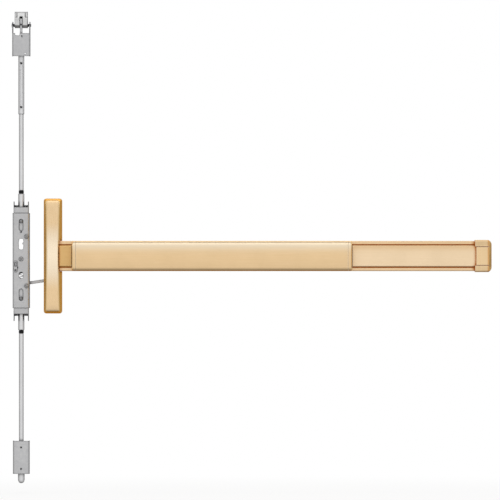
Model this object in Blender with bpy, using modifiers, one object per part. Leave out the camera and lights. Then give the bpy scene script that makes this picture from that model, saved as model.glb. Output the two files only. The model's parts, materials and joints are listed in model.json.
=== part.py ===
"""Concealed vertical rod exit device at real size, in metres.

X runs along the touch bar away from the rods, Y runs into the door and Z is up.
Places are worked out from the middle of the head cover on the door face, and the
whole is then moved so that the origin lies behind the middle of the channel.
"""
import math

import bmesh
import bpy
from mathutils import Matrix, Vector

# Clearances and travel
GAP = 0.0003
SLOT_GAP = 0.00035
TRAVEL = 0.015

# Head on the door face
HEAD_WIDTH = 0.037
HEAD_HEIGHT = 0.230
HEAD_DEPTH_END = 0.036
HEAD_CROWN = 0.014
HEAD_WALL = 0.002
HEAD_DRAFT = 0.106
HEAD_ROUND = 0.005
CHASSIS_PLATE = 0.003
CHASSIS_SCREW_INSET = 0.016

# Channel of the touch bar
BAR_HEIGHT = 0.060
BAR_DEPTH = 0.040
BAR_WALL = 0.0022
BAR_ROUND = 0.0022
BAR_START = 0.0125
BAR_END = 0.846
LIP_WIDTH = 0.0065
FILLER_HEIGHT = 0.043
FILLER_PROUD = 0.004
FILLER_WALL = 0.0016
FILLER_ROUND = 0.003
RAIL_FOOT = 0.0035

# Touch pad
PAD_START = 0.039
PAD_LENGTH = 0.558
PAD_PROUD = 0.030
PAD_WALL = 0.0018
PAD_ROUND = 0.008
PAD_CAP = 0.0075
PAD_CAP_ROUND = 0.003
PAD_STOP_GAP = 0.002
RAIL_HEIGHT = 0.040
RAIL_INSET = 0.020

# End cap and end bracket
CAP_LENGTH = 0.033
CAP_LAP = 0.003
CAP_HEIGHT = 0.064
CAP_PROUD = 0.009
CAP_FACET = 0.0015
CAP_ROUND = 0.011
CAP_GROOVE = 0.0006
CAP_PANEL = 0.037
CAP_STEP = 0.0025
BRACKET_PLATE = 0.003

# Bell cranks in the channel
CRANK_ARM = 0.020
CRANK_DEPTH = 0.030
CRANK_PLATE = 0.003
CRANK_HUB = 0.0055
CRANK_PIN = 0.002
PIVOT_PIN = 0.0025
CRANK_INSET = 0.070
YOKE_WIDTH = 0.016
YOKE_HEIGHT = 0.024
YOKE_WALL = 0.0018
STRIP = 0.003
STRIP_WIDTH = 0.0125

# Head crank behind the chassis
HEAD_ARM = 0.050
HEAD_CRANK_FRONT = 0.020
HEAD_CRANK_PLATE = 0.003
HEAD_CRANK_HUB = 0.009
HEAD_TIP = 0.004
HEAD_PIVOT = 0.0035
DRIVE_POST = 0.003

# Rods
ROD_X = -0.064
ROD_Y = 0.022
ROD_RADIUS = 0.0047
ROD_BORE = 0.0036
SLEEVE_RADIUS = 0.0062
TOP_TUBE_RADIUS = 0.0060
STUD_RADIUS = 0.0033
BAND_RADIUS = 0.0049
BAND_HEIGHT = 0.0064
CROSS_PIN = 0.002

# Centre case
CASE_WIDTH = 0.034
CASE_DEPTH = 0.030
CASE_WALL = 0.0016
CASE_ROUND = 0.0042
CASE_TOP = 0.086
CASE_BOTTOM = -0.104
SLIDE_WALL = 0.0016
SLIDE_DEPTH = 0.022
FOLD_RELIEF = 0.0002
ROCKER_Z = -0.006
ROCKER_ARM = 0.012
ROCKER_END = 0.003
ROCKER_PLATE = 0.003
ROCKER_PIN = 0.0015
ROCKER_PIVOT = 0.003
TAB_REACH = 0.023
WEB_REACH = 0.012
YOKE_GAP = 0.030
WEB_RELIEF = 0.027
SLIDE_STUD = 0.0032

# Top latch
LATCH_WIDTH = 0.036
LATCH_WALL = 0.0018
LATCH_BOTTOM = 0.400
LATCH_FRONT_TOP = 0.446
LATCH_TOP = 0.467
BOLT_PIVOT_Y = 0.031
BOLT_PIVOT_Z = 0.462
BOLT_ARM = 0.022
BOLT_WIDTH = 0.026
BOLT_PIN = 0.003
LINK_PIN = 0.0025
LINK_PLATE = 0.005

# Bottom latch
FOOT_WIDTH = 0.033
FOOT_DEPTH = 0.028
FOOT_WALL = 0.0018
FOOT_TOP = -0.370
FOOT_HEIGHT = 0.066
FOOT_BOLT = 0.0067
FOOT_BOLT_REACH = 0.019
FOOT_SPRING_SPACE = 0.034
GUIDE_PLATE = 0.004

PLANES = {
    "XY": Matrix.Identity(4),
    "XZ": Matrix.Rotation(math.pi / 2, 4, "X"),
    "YZ": Matrix.Rotation(math.pi / 2, 4, "Z") @ Matrix.Rotation(math.pi / 2, 4, "X"),
}
AXES = {
    "X": Matrix.Rotation(math.pi / 2, 4, "Y"),
    "Y": Matrix.Rotation(-math.pi / 2, 4, "X"),
    "Z": Matrix.Identity(4),
}

# Sizes that follow from the ones above
HALF_TRAVEL = TRAVEL / 2
BAR_HALF = BAR_HEIGHT / 2
LIP_HALF = BAR_HALF - LIP_WIDTH
PAD_END = PAD_START + PAD_LENGTH
PAD_FRONT = -BAR_DEPTH - PAD_PROUD
PAD_REAR = -BAR_DEPTH - TRAVEL - PAD_STOP_GAP
CRANK_REST = math.asin(HALF_TRAVEL / CRANK_ARM)
CRANK_CENTRES = {"left": PAD_START + CRANK_INSET, "right": PAD_END - CRANK_INSET}
STRIP_BOTTOM = CRANK_PLATE / 2 + GAP
STRIP_MID = STRIP_BOTTOM + STRIP / 2
HEAD_REST = math.atan(HALF_TRAVEL / HEAD_ARM)
HEAD_OUTPUT = HALF_TRAVEL / math.sin(HEAD_REST)
CASE_FRONT = ROD_Y - CASE_DEPTH / 2
SLIDE_HALF = CASE_WIDTH / 2 - CASE_WALL - GAP
SLIDE_FRONT = CASE_FRONT + CASE_WALL + GAP
SLIDE_BACK = SLIDE_FRONT + SLIDE_DEPTH
HEAD_TIP_X = ROD_X + SLIDE_HALF - SLIDE_WALL / 2
HEAD_PIVOT_X = HEAD_TIP_X + HEAD_OUTPUT * math.cos(HEAD_REST)
HEAD_PIVOT_Z = STRIP_MID - HEAD_ARM
HEAD_TIP_Z = HEAD_PIVOT_Z - HALF_TRAVEL
POST_X = HEAD_PIVOT_X - HALF_TRAVEL
ROCKER_REST = math.asin(HALF_TRAVEL / ROCKER_ARM)
UPPER_SLOT_Z = ROCKER_Z + HALF_TRAVEL
LOWER_SLOT_Z = ROCKER_Z - HALF_TRAVEL
BOLT_REST = math.asin(HALF_TRAVEL / BOLT_ARM)

parts = bpy.data.collections.new("vertical_rod_exit_device")
tools = bpy.data.collections.new("cutters")


def start_scene():
    """Empty the scene and make the two collections."""
    for item in list(bpy.data.objects):
        bpy.data.objects.remove(item)
    bpy.context.scene.collection.children.link(parts)
    bpy.context.scene.collection.children.link(tools)


def metal(name, colour, roughness, metallic=1.0):
    """A plain metal for one kind of sub-part."""
    finish = bpy.data.materials.new(name)
    finish.use_nodes = True
    shader = finish.node_tree.nodes["Principled BSDF"]
    shader.inputs["Base Color"].default_value = (*colour, 1.0)
    shader.inputs["Roughness"].default_value = roughness
    shader.inputs["Metallic"].default_value = metallic
    return finish


BRONZE = metal("satin_bronze", (0.80, 0.58, 0.33), 0.32)
STEEL = metal("zinc_steel", (0.62, 0.62, 0.62), 0.42)
DARK = metal("black_steel", (0.03, 0.03, 0.03), 0.5)
WIRE = metal("spring_wire", (0.45, 0.45, 0.47), 0.3)


def place(name, mesh, matrix, finish):
    """Put a mesh among the parts, or among the cutters when it has no finish."""
    piece = bpy.data.objects.new(name, mesh)
    if finish is None:
        tools.objects.link(piece)
        piece.hide_render = True
        piece.display_type = "WIRE"
    else:
        parts.objects.link(piece)
        mesh.materials.append(finish)
    piece.matrix_world = matrix
    return piece


def mesh_of_curve(guide):
    """Turn a curve object into a welded mesh and drop the curve."""
    bpy.context.view_layer.update()
    graph = bpy.context.evaluated_depsgraph_get()
    mesh = bpy.data.meshes.new_from_object(guide.evaluated_get(graph))
    bpy.data.objects.remove(guide)
    form = bmesh.new()
    form.from_mesh(mesh)
    bmesh.ops.remove_doubles(form, verts=form.verts, dist=0.000002)
    bmesh.ops.recalc_face_normals(form, faces=form.faces)
    form.to_mesh(mesh)
    form.free()
    return mesh


def plate(name, loops, thickness, plane, centre, finish=None):
    """A flat outline with its holes, given thickness about its own plane."""
    curve = bpy.data.curves.new(name, "CURVE")
    curve.dimensions = "2D"
    curve.fill_mode = "BOTH"
    curve.extrude = thickness / 2
    for loop in loops:
        spline = curve.splines.new("POLY")
        spline.points.add(len(loop) - 1)
        for point, (across, up) in zip(spline.points, loop):
            point.co = (across, up, 0.0, 1.0)
        spline.use_cyclic_u = True
    guide = bpy.data.objects.new(name + "_outline", curve)
    tools.objects.link(guide)
    matrix = Matrix.Translation(centre) @ PLANES[plane]
    return place(name, mesh_of_curve(guide), matrix, finish)


def loft(name, stations, finish=None):
    """A closed skin through outlines at stations along X, each with as many points."""
    form = bmesh.new()
    rings = [[form.verts.new((along, depth, up)) for depth, up in outline]
             for along, outline in stations]
    for near, far in zip(rings, rings[1:]):
        for i in range(len(near)):
            form.faces.new((near[i - 1], near[i], far[i], far[i - 1]))
    form.faces.new(rings[0])
    form.faces.new(rings[-1])
    bmesh.ops.recalc_face_normals(form, faces=form.faces)
    mesh = bpy.data.meshes.new(name)
    form.to_mesh(mesh)
    form.free()
    return place(name, mesh, Matrix.Identity(4), finish)


def block(name, low, high, finish=None):
    """A box between two corners."""
    low, high = Vector(low), Vector(high)
    form = bmesh.new()
    bmesh.ops.create_cube(form, size=1.0, matrix=Matrix.Diagonal((*(high - low), 1.0)))
    mesh = bpy.data.meshes.new(name)
    form.to_mesh(mesh)
    form.free()
    return place(name, mesh, Matrix.Translation((low + high) / 2), finish)


def facets(radius):
    """Sides of a round form, fewer on small pins than on wide bolts."""
    if radius < 0.0022:
        return 12
    return 16 if radius < 0.0056 else 20


def turned(name, profile, axis, centre, finish=None):
    """A solid of revolution from (distance along the axis, radius) pairs."""
    mesh = bpy.data.meshes.new(name)
    points = [(radius, 0.0, along) for along, radius in reversed(profile)]
    edges = [(i, i + 1) for i in range(len(points) - 1)]
    mesh.from_pydata(points, edges, [])
    piece = place(name, mesh, Matrix.Translation(centre) @ AXES[axis], finish)
    spin = piece.modifiers.new("turn", "SCREW")
    spin.steps = spin.render_steps = facets(max(radius for _, radius in profile))
    spin.use_merge_vertices = True
    spin.merge_threshold = 0.00001
    return piece


def pin(name, radius, start, end, axis, centre, finish=None):
    """A plain round pin between two distances along an axis."""
    profile = [(start, 0.0), (start, radius), (end, radius), (end, 0.0)]
    return turned(name, profile, axis, centre, finish)


def tube(name, outer, inner, low, high, finish):
    """A straight upright tube on the rod axis."""
    loops = [circle(0, 0, outer), circle(0, 0, inner)]
    return plate(name, loops, high - low, "XY", (ROD_X, ROD_Y, (low + high) / 2), finish)


def shape(piece, tool, operation="DIFFERENCE"):
    """Cut or join a piece with a tool."""
    step = piece.modifiers.new(tool.name, "BOOLEAN")
    step.operation = operation
    step.solver = "EXACT"
    step.object = tool


def circle(across, up, radius):
    """Points round a circle."""
    steps = facets(radius)
    turns = [2 * math.pi * i / steps for i in range(steps)]
    return [(across + radius * math.cos(t), up + radius * math.sin(t)) for t in turns]


def slot(across, up, length, half_width, angle=0.0, steps=6):
    """A round-ended slot whose end centres lie length apart."""
    loop = []
    for side in (0, 1):
        middle = angle + side * math.pi
        x = across + math.cos(middle) * length / 2
        y = up + math.sin(middle) * length / 2
        for i in range(steps + 1):
            t = middle - math.pi / 2 + math.pi * i / steps
            loop.append((x + half_width * math.cos(t), y + half_width * math.sin(t)))
    return loop


def rounded(corners, radii, steps=4):
    """A closed outline whose corners are filleted with the given radii."""
    loop = []
    for i, corner in enumerate(corners):
        point = Vector(corner)
        before = (Vector(corners[i - 1]) - point).normalized()
        after = (Vector(corners[(i + 1) % len(corners)]) - point).normalized()
        radius = radii[i]
        if radius <= 0:
            loop.append(tuple(point))
            continue
        half = before.angle(after) / 2
        middle = point + (before + after).normalized() * (radius / math.sin(half))
        first = point + before * (radius / math.tan(half)) - middle
        last = point + after * (radius / math.tan(half)) - middle
        begin = math.atan2(first.y, first.x)
        sweep = (math.atan2(last.y, last.x) - begin + math.pi) % (2 * math.pi) - math.pi
        for k in range(steps + 1):
            t = begin + sweep * k / steps
            loop.append((middle.x + radius * math.cos(t), middle.y + radius * math.sin(t)))
    return loop


def rectangle(left, bottom, right, top, radius=0.0):
    """A rectangle with one corner radius."""
    corners = [(left, bottom), (right, bottom), (right, top), (left, top)]
    return rounded(corners, [radius] * 4)


def lever(hub, arms, steps=6):
    """Outline of a lever about its pivot.

    Each arm is (angle, length, half width, end radius), listed anticlockwise.
    """
    loop = []
    for k, (angle, length, half, end) in enumerate(arms):
        lean = math.asin(half / hub)
        swing = math.pi - math.asin(min(1.0, half / end))
        loop.append((hub * math.cos(angle - lean), hub * math.sin(angle - lean)))
        for i in range(steps + 1):
            t = angle - swing + 2 * swing * i / steps
            loop.append((length * math.cos(angle) + end * math.cos(t),
                         length * math.sin(angle) + end * math.sin(t)))
        following = arms[(k + 1) % len(arms)]
        first = angle + lean
        last = following[0] - math.asin(following[2] / hub)
        while last < first:
            last += 2 * math.pi
        for i in range(steps):
            t = first + (last - first) * i / steps
            loop.append((hub * math.cos(t), hub * math.sin(t)))
    return loop


def channel(half, front, back, wall, radius):
    """Section of an upright channel that opens to the back."""
    corners = [(-half, back), (-half, front), (half, front), (half, back),
               (half - wall, back), (half - wall, front + wall),
               (-half + wall, front + wall), (-half + wall, back)]
    inner = max(radius - wall, 0.0)
    return rounded(corners, [0, radius, radius, 0, 0, inner, inner, 0])


def hat(front, rear, half, foot_half, wall, radius):
    """Section of a hat-shaped strip whose feet point outwards."""
    corners = [(rear, -foot_half), (rear - wall, -foot_half), (rear - wall, -half),
               (front, -half), (front, half), (rear - wall, half),
               (rear - wall, foot_half), (rear, foot_half), (rear, half - wall),
               (front + wall, half - wall), (front + wall, wall - half), (rear, wall - half)]
    inner = max(radius - wall, 0.0)
    return rounded(corners, [0, 0, 0, radius, radius, 0, 0, 0, 0, inner, inner, 0])


def coil(name, radius, wire, low, high, turns, finish):
    """A compression spring round the rod axis."""
    curve = bpy.data.curves.new(name, "CURVE")
    curve.dimensions = "3D"
    curve.bevel_depth = wire
    curve.bevel_resolution = 1
    curve.use_fill_caps = True
    count = turns * 10
    rise = high - low - 2 * wire
    spline = curve.splines.new("POLY")
    spline.points.add(count)
    for i, point in enumerate(spline.points):
        t = 2 * math.pi * turns * i / count
        point.co = (radius * math.cos(t), radius * math.sin(t), wire + rise * i / count, 1.0)
    guide = bpy.data.objects.new(name + "_line", curve)
    tools.objects.link(guide)
    return place(name, mesh_of_curve(guide), Matrix.Translation((ROD_X, ROD_Y, low)), finish)


def head_depth(height):
    """How far the crowned head cover stands off the door at a height."""
    share = 2 * height / HEAD_HEIGHT
    return HEAD_DEPTH_END + HEAD_CROWN * (1 - share * share)


def make_head_cover():
    """Crowned and drafted cover, an open shell with a mouth for the bar."""
    rows = 14
    form = bmesh.new()
    bmesh.ops.create_grid(form, x_segments=1, y_segments=rows, size=0.5)
    for vertex in form.verts:
        side, height = vertex.co.x * 2, vertex.co.y * 2
        top = HEAD_HEIGHT / 2 - HEAD_DRAFT * HEAD_DEPTH_END
        depth = head_depth(height * top)
        half = HEAD_WIDTH / 2 - HEAD_DRAFT * depth
        vertex.co = (side * half, -depth, height * top)
    rim = [edge for edge in form.edges if edge.is_boundary]
    skirt = bmesh.ops.extrude_edge_only(form, edges=rim)["geom"]
    for vertex in (item for item in skirt if isinstance(item, bmesh.types.BMVert)):
        vertex.co.x = math.copysign(HEAD_WIDTH / 2, vertex.co.x)
        if abs(vertex.co.z) > HEAD_HEIGHT / 2 - HEAD_DRAFT * HEAD_DEPTH_END - GAP:
            vertex.co.z = math.copysign(HEAD_HEIGHT / 2, vertex.co.z)
        vertex.co.y = 0.0
    bmesh.ops.recalc_face_normals(form, faces=form.faces)
    front = min(form.faces, key=lambda face: face.calc_center_median().y)
    if front.normal.y > 0:
        bmesh.ops.reverse_faces(form, faces=form.faces)
    mesh = bpy.data.meshes.new("head_cover")
    form.to_mesh(mesh)
    form.free()
    cover = place("head_cover", mesh, Matrix.Identity(4), BRONZE)
    edges = cover.modifiers.new("round", "BEVEL")
    edges.width = HEAD_ROUND
    edges.segments = 3
    edges.angle_limit = math.radians(40)
    wall = cover.modifiers.new("wall", "SOLIDIFY")
    wall.thickness = HEAD_WALL
    wall.offset = -1.0
    wall.use_even_offset = True
    mouth = block("head_mouth", (0.0, -BAR_DEPTH - FILLER_PROUD - GAP, -BAR_HALF - GAP),
                  (HEAD_WIDTH, 0.001, BAR_HALF + GAP))
    shape(cover, mouth)


def make_head_chassis():
    """Base plate on the door with its two screws."""
    half = HEAD_WIDTH / 2 - HEAD_WALL - HEAD_DRAFT * CHASSIS_PLATE - GAP
    top = HEAD_HEIGHT / 2 - HEAD_WALL - HEAD_DRAFT * CHASSIS_PLATE - GAP
    screw_z = top - CHASSIS_SCREW_INSET
    inset, clear = BAR_START - GAP, BAR_HALF + GAP
    corners = [(-half, -top), (half, -top), (half, -clear), (inset, -clear), (inset, clear),
               (half, clear), (half, top), (-half, top)]
    loops = [rounded(corners, [0.003, 0.003, 0, 0, 0, 0, 0.003, 0.003]),
             slot(HEAD_PIVOT_X, STRIP_MID, TRAVEL, DRIVE_POST + 2 * GAP),
             circle(HEAD_PIVOT_X, HEAD_PIVOT_Z, HEAD_PIVOT + GAP),
             circle(0, screw_z, 0.0025 + GAP), circle(0, -screw_z, 0.0025 + GAP)]
    plate("head_chassis", loops, CHASSIS_PLATE, "XZ", (0, -CHASSIS_PLATE / 2, 0), STEEL)
    for label, height in (("upper", screw_z), ("lower", -screw_z)):
        screw("chassis_screw_" + label, (0, -CHASSIS_PLATE - GAP, height), 0.0025, 0.022)


def screw(name, seat, radius, length, finish=STEEL):
    """Pan head screw that points into the door from its seat."""
    profile = [(-0.003, 0.0), (-0.003, 1.2 * radius), (-0.0022, 1.9 * radius), (0.0, 2 * radius),
               (0.0, radius), (length - radius, radius), (length, 0.0)]
    turned(name, profile, "Y", seat, finish)


def make_channel():
    """Lipped channel that carries the touch bar."""
    inner = BAR_HALF - BAR_WALL
    corners = [(0, -BAR_HALF), (-BAR_DEPTH, -BAR_HALF), (-BAR_DEPTH, -LIP_HALF),
               (BAR_WALL - BAR_DEPTH, -LIP_HALF), (BAR_WALL - BAR_DEPTH, -inner),
               (-BAR_WALL, -inner), (-BAR_WALL, inner), (BAR_WALL - BAR_DEPTH, inner),
               (BAR_WALL - BAR_DEPTH, LIP_HALF), (-BAR_DEPTH, LIP_HALF),
               (-BAR_DEPTH, BAR_HALF), (0, BAR_HALF)]
    outline = rounded(corners, [0, BAR_ROUND, 0, 0, 0, 0, 0, 0, 0, 0, BAR_ROUND, 0])
    middle = ((BAR_START + BAR_END) / 2, 0, 0)
    plate("bar_channel", [outline], BAR_END - BAR_START, "YZ", middle, BRONZE)


def make_filler(name, start, end):
    """Fixed face strip that hooks behind the channel lips."""
    rear = BAR_WALL - BAR_DEPTH + GAP + FILLER_WALL
    outline = hat(-BAR_DEPTH - FILLER_PROUD, rear, FILLER_HEIGHT / 2,
                  LIP_HALF + RAIL_FOOT, FILLER_WALL, FILLER_ROUND)
    plate(name, [outline], end - start, "YZ", ((start + end) / 2, 0, 0), BRONZE)


def make_touch_pad():
    """Pad shell, its two end caps and the rail that rides behind the lips."""
    inner = BAR_HALF - PAD_WALL
    corners = [(PAD_REAR, -BAR_HALF), (PAD_FRONT, -BAR_HALF), (PAD_FRONT, BAR_HALF),
               (PAD_REAR, BAR_HALF), (PAD_REAR, inner), (PAD_FRONT + PAD_WALL, inner),
               (PAD_FRONT + PAD_WALL, -inner), (PAD_REAR, -inner)]
    round_in = PAD_ROUND - PAD_WALL
    outline = rounded(corners, [0, PAD_ROUND, PAD_ROUND, 0, 0, round_in, round_in, 0], 8)
    length = PAD_LENGTH - 2 * PAD_CAP - 2 * GAP
    middle = PAD_START + PAD_LENGTH / 2
    plate("touch_pad", [outline], length, "YZ", (middle, 0, 0), BRONZE)
    make_pad_end("left", PAD_START, 1)
    make_pad_end("right", PAD_END, -1)
    rear = BAR_WALL - BAR_DEPTH + GAP + PAD_WALL
    rail = hat(PAD_FRONT + PAD_WALL + GAP, rear, RAIL_HEIGHT / 2, LIP_HALF + RAIL_FOOT, PAD_WALL,
               PAD_WALL)
    plate("pad_rail", [rail], PAD_LENGTH - 2 * RAIL_INSET, "YZ", (middle, 0, 0), STEEL)


def make_pad_end(label, outside, inward):
    """Solid end of the pad, rounded over at its outer rim."""
    stations = []
    for i in range(4):
        turn = math.radians(30 * i)
        inset = PAD_CAP_ROUND * (1 - math.sin(turn))
        half = BAR_HALF - inset
        corners = [(PAD_REAR, -half), (PAD_FRONT + inset, -half), (PAD_FRONT + inset, half),
                   (PAD_REAR, half)]
        radius = PAD_ROUND - inset
        outline = rounded(corners, [0, radius, radius, 0], 8)
        stations.append((outside + inward * PAD_CAP_ROUND * (1 - math.cos(turn)), outline))
    stations.append((outside + inward * PAD_CAP, stations[-1][1]))
    loft("pad_end_" + label, stations, BRONZE)


def make_crank(label, centre_x):
    """One bell crank with its yoke, pivot pin and the lug that pushes it."""
    pivot = (centre_x, -CRANK_DEPTH, 0)
    across = CRANK_ARM * math.cos(CRANK_REST)
    arms = [(math.pi / 2 + CRANK_REST, CRANK_ARM, 0.0038, 0.0038),
            (math.pi + CRANK_REST, CRANK_ARM, 0.0038, 0.0038)]
    name = "bell_crank_" + label
    crank = plate(name, [lever(CRANK_HUB, arms)], CRANK_PLATE, "XY", pivot, STEEL)
    hub_half = YOKE_HEIGHT / 2 - YOKE_WALL - GAP
    shape(crank, pin(name + "_hub", CRANK_HUB - 0.0004, -hub_half, hub_half, "Z", pivot), "UNION")
    reach = CRANK_PLATE / 2 + GAP + STRIP + 0.0007
    output = (centre_x - HALF_TRAVEL, across - CRANK_DEPTH, 0)
    push = (centre_x - across, -CRANK_DEPTH - HALF_TRAVEL, 0)
    shape(crank, pin(name + "_output", CRANK_PIN, 0.0005, reach, "Z", output), "UNION")
    shape(crank, pin(name + "_input", CRANK_PIN, -reach, -0.0005, "Z", push), "UNION")
    shape(crank, pin(name + "_bore", PIVOT_PIN + GAP, -0.02, 0.02, "Z", pivot))

    back = -BAR_WALL - GAP
    front = -CRANK_DEPTH - CRANK_HUB
    half = YOKE_HEIGHT / 2
    corners = [(back, -half), (front, -half), (front, YOKE_WALL - half),
               (back - YOKE_WALL, YOKE_WALL - half), (back - YOKE_WALL, half - YOKE_WALL),
               (front, half - YOKE_WALL), (front, half), (back, half)]
    yoke = plate("crank_yoke_" + label, [corners], YOKE_WIDTH, "YZ", (centre_x, 0, 0), STEEL)
    shape(yoke, pin("yoke_bore_" + label, PIVOT_PIN + GAP, -half - 0.002, half + 0.002, "Z", pivot))
    profile = [(-half - 0.002, 0.0), (-half - 0.002, PIVOT_PIN), (half + GAP, PIVOT_PIN),
               (half + GAP, 1.7 * PIVOT_PIN), (half + 0.002, 1.7 * PIVOT_PIN), (half + 0.002, 0.0)]
    turned("crank_pin_" + label, profile, "Z", pivot, STEEL)

    slack = CRANK_ARM - across
    low = (centre_x - CRANK_ARM - 0.006, -across - CRANK_DEPTH)
    front = PAD_FRONT + 2 * PAD_WALL + 2 * GAP
    rear = -CRANK_DEPTH - HALF_TRAVEL + 0.0042
    loops = [rectangle(low[0], front, centre_x - across + 0.0055, rear, 0.001),
             slot(centre_x - CRANK_ARM + slack / 2, -CRANK_DEPTH - HALF_TRAVEL,
                  slack, CRANK_PIN + SLOT_GAP)]
    plate("pad_lug_" + label, loops, STRIP, "XY", (0, 0, -STRIP_MID), STEEL)


def make_actuator():
    """Strip that joins the cranks, and the block and post at its head end."""
    across = CRANK_ARM * math.cos(CRANK_REST)
    slack = CRANK_ARM - across
    rear = -BAR_WALL - YOKE_WALL - 2 * GAP
    block_half = DRIVE_POST + 0.0009
    start = POST_X + GAP
    end = CRANK_CENTRES["right"] + 0.012
    loops = [rectangle(start, rear - STRIP_WIDTH, end, rear, 0.001)]
    for centre_x in CRANK_CENTRES.values():
        loops.append(slot(centre_x - HALF_TRAVEL, across + slack / 2 - CRANK_DEPTH,
                          slack, CRANK_PIN + SLOT_GAP, math.pi / 2))
    plate("actuator_strip", loops, STRIP, "XY", (0, 0, STRIP_MID), STEEL)
    low = (POST_X - block_half, rear - STRIP_WIDTH, STRIP_MID - 0.007)
    high = (POST_X + block_half, rear, STRIP_MID + 0.007)
    drive = block("drive_block", low, high, STEEL)
    shape(drive, pin("drive_post", DRIVE_POST, rear - 0.003,
                     HEAD_CRANK_FRONT + HEAD_CRANK_PLATE + 0.0015, "Y",
                     (POST_X, 0, STRIP_MID)), "UNION")
    shape(drive, block("drive_slot", (POST_X, rear - STRIP_WIDTH - 0.001, STRIP_BOTTOM - GAP),
                       (POST_X + 2 * block_half, rear - 0.0032, STRIP_MID + STRIP / 2 + GAP)))
    strip_notch = block("strip_notch", (start - 0.001, rear - 0.0035, 0),
                        (POST_X + block_half + GAP, rear + 0.001, 2 * STRIP_MID))
    shape(bpy.data.objects["actuator_strip"], strip_notch)


def make_head_crank():
    """Lever behind the chassis that lifts the lower slide, and its post."""
    centre = (HEAD_PIVOT_X, HEAD_CRANK_FRONT + HEAD_CRANK_PLATE / 2, HEAD_PIVOT_Z)
    stretch = HEAD_ARM / math.cos(HEAD_REST) - HEAD_ARM
    top = HEAD_ARM + stretch / 2
    up = math.pi / 2 + HEAD_REST
    arms = [(up, top, 0.0062, 0.0062), (math.pi + HEAD_REST, HEAD_OUTPUT, 0.003, HEAD_TIP)]
    loops = [lever(HEAD_CRANK_HUB, arms, 10), circle(0, 0, HEAD_PIVOT + GAP),
             slot(top * math.cos(up), top * math.sin(up), 2 * stretch, DRIVE_POST + GAP, up)]
    plate("head_crank", loops, HEAD_CRANK_PLATE, "XZ", centre, STEEL)
    rear = HEAD_CRANK_FRONT + HEAD_CRANK_PLATE
    profile = [(-CHASSIS_PLATE - 0.0027, 0.0), (-CHASSIS_PLATE - 0.0027, 0.006),
               (-CHASSIS_PLATE - GAP, 0.006), (-CHASSIS_PLATE - GAP, HEAD_PIVOT), (GAP, HEAD_PIVOT),
               (GAP, 0.006), (HEAD_CRANK_FRONT - GAP, 0.006), (HEAD_CRANK_FRONT - GAP, HEAD_PIVOT),
               (rear + GAP, HEAD_PIVOT), (rear + GAP, 0.0052), (rear + 0.002, 0.0052),
               (rear + 0.002, 0.0)]
    turned("head_pivot_post", profile, "Y", (HEAD_PIVOT_X, 0, HEAD_PIVOT_Z), STEEL)


def make_end_cap():
    """Faceted cap over the free end of the channel, and its bracket."""
    start = BAR_END - CAP_LAP
    end = start + CAP_LENGTH
    half = CAP_HEIGHT / 2
    front = -BAR_DEPTH - CAP_PROUD
    panel = CAP_PANEL / 2
    low = front + CAP_FACET
    corners = [(0, -half), (low, -half), (front, -panel - CAP_GROOVE), (low, -panel),
               (front, CAP_GROOVE - panel), (front, panel - CAP_GROOVE), (low, panel),
               (front, panel + CAP_GROOVE), (low, half), (0, half)]
    outline = rounded(corners, [0, 0.004, 0, 0, 0, 0, 0, 0, 0.004, 0])
    cap = plate("end_cap", [outline], CAP_LENGTH, "YZ", ((start + end) / 2, 0, 0), BRONZE)
    face = rounded([(start - 0.001, -half - 0.001), (end, -half - 0.001), (end, half + 0.001),
                    (start - 0.001, half + 0.001)], [0, CAP_ROUND, CAP_ROUND, 0], 6)
    depth = -front + 0.002
    shape(cap, plate("cap_face", [face], depth, "XZ", ((0, -depth / 2 + 0.001, 0))), "INTERSECT")
    plan = rounded([(start - 0.001, 0.001), (start - 0.001, front - 0.001), (end, front - 0.001),
                    (end, 0.001)], [0, 0, CAP_ROUND, 0], 6)
    shape(cap, plate("cap_plan", [plan], CAP_HEIGHT + 0.004, "XY", (0, 0, 0)), "INTERSECT")
    room = BAR_HALF + GAP
    inside = BAR_END + 0.020
    shape(cap, block("cap_room", (start - 0.001, -BAR_DEPTH - GAP, -room), (inside, 0.001, room)))
    notch = FILLER_HEIGHT / 2 + GAP
    shape(cap, block("cap_notch", (start - 0.001, -BAR_DEPTH - FILLER_PROUD - GAP, -notch),
                     (BAR_END + GAP, 0, notch)))
    shape(cap, block("cap_step", (start - 0.001, front - 0.001, -panel), (start + CAP_STEP, 0, panel)))
    foot = BAR_END + 0.016
    corners = [(BAR_END - 0.030, -BAR_WALL - GAP), (BAR_END - 0.030, -BAR_WALL - BRACKET_PLATE),
               (BAR_END + 0.003, -BAR_WALL - BRACKET_PLATE), (BAR_END + 0.003, -BRACKET_PLATE),
               (foot, -BRACKET_PLATE), (foot, 0), (BAR_END + GAP, 0), (BAR_END + GAP, -BAR_WALL - GAP)]
    bracket = plate("end_bracket", [corners], BAR_HEIGHT - 2 * BAR_WALL - 0.004, "XY", (0, 0, 0),
                    STEEL)
    seat = ((BAR_END + 0.003 + foot) / 2, -BRACKET_PLATE - GAP)
    for label, height in (("upper", 0.016), ("lower", -0.016)):
        hole = pin("bracket_hole_" + label, 0.002 + GAP, -0.01, 0.01, "Y", (seat[0], 0, height))
        shape(bracket, hole)
        screw("bracket_screw_" + label, (seat[0], seat[1], height), 0.002, 0.020)


def cut_wall(piece, name, loops, side, middle):
    """Cut outlines through one wall of an upright channel."""
    thickness = 0.008
    for i, loop in enumerate(loops):
        if side == "front":
            tool = plate(f"{name}_{i}", [loop], thickness, "XZ", (ROD_X, middle, 0))
        else:
            tool = plate(f"{name}_{i}", [loop], thickness, "YZ", (ROD_X + middle, 0, 0))
        shape(piece, tool)


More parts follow.
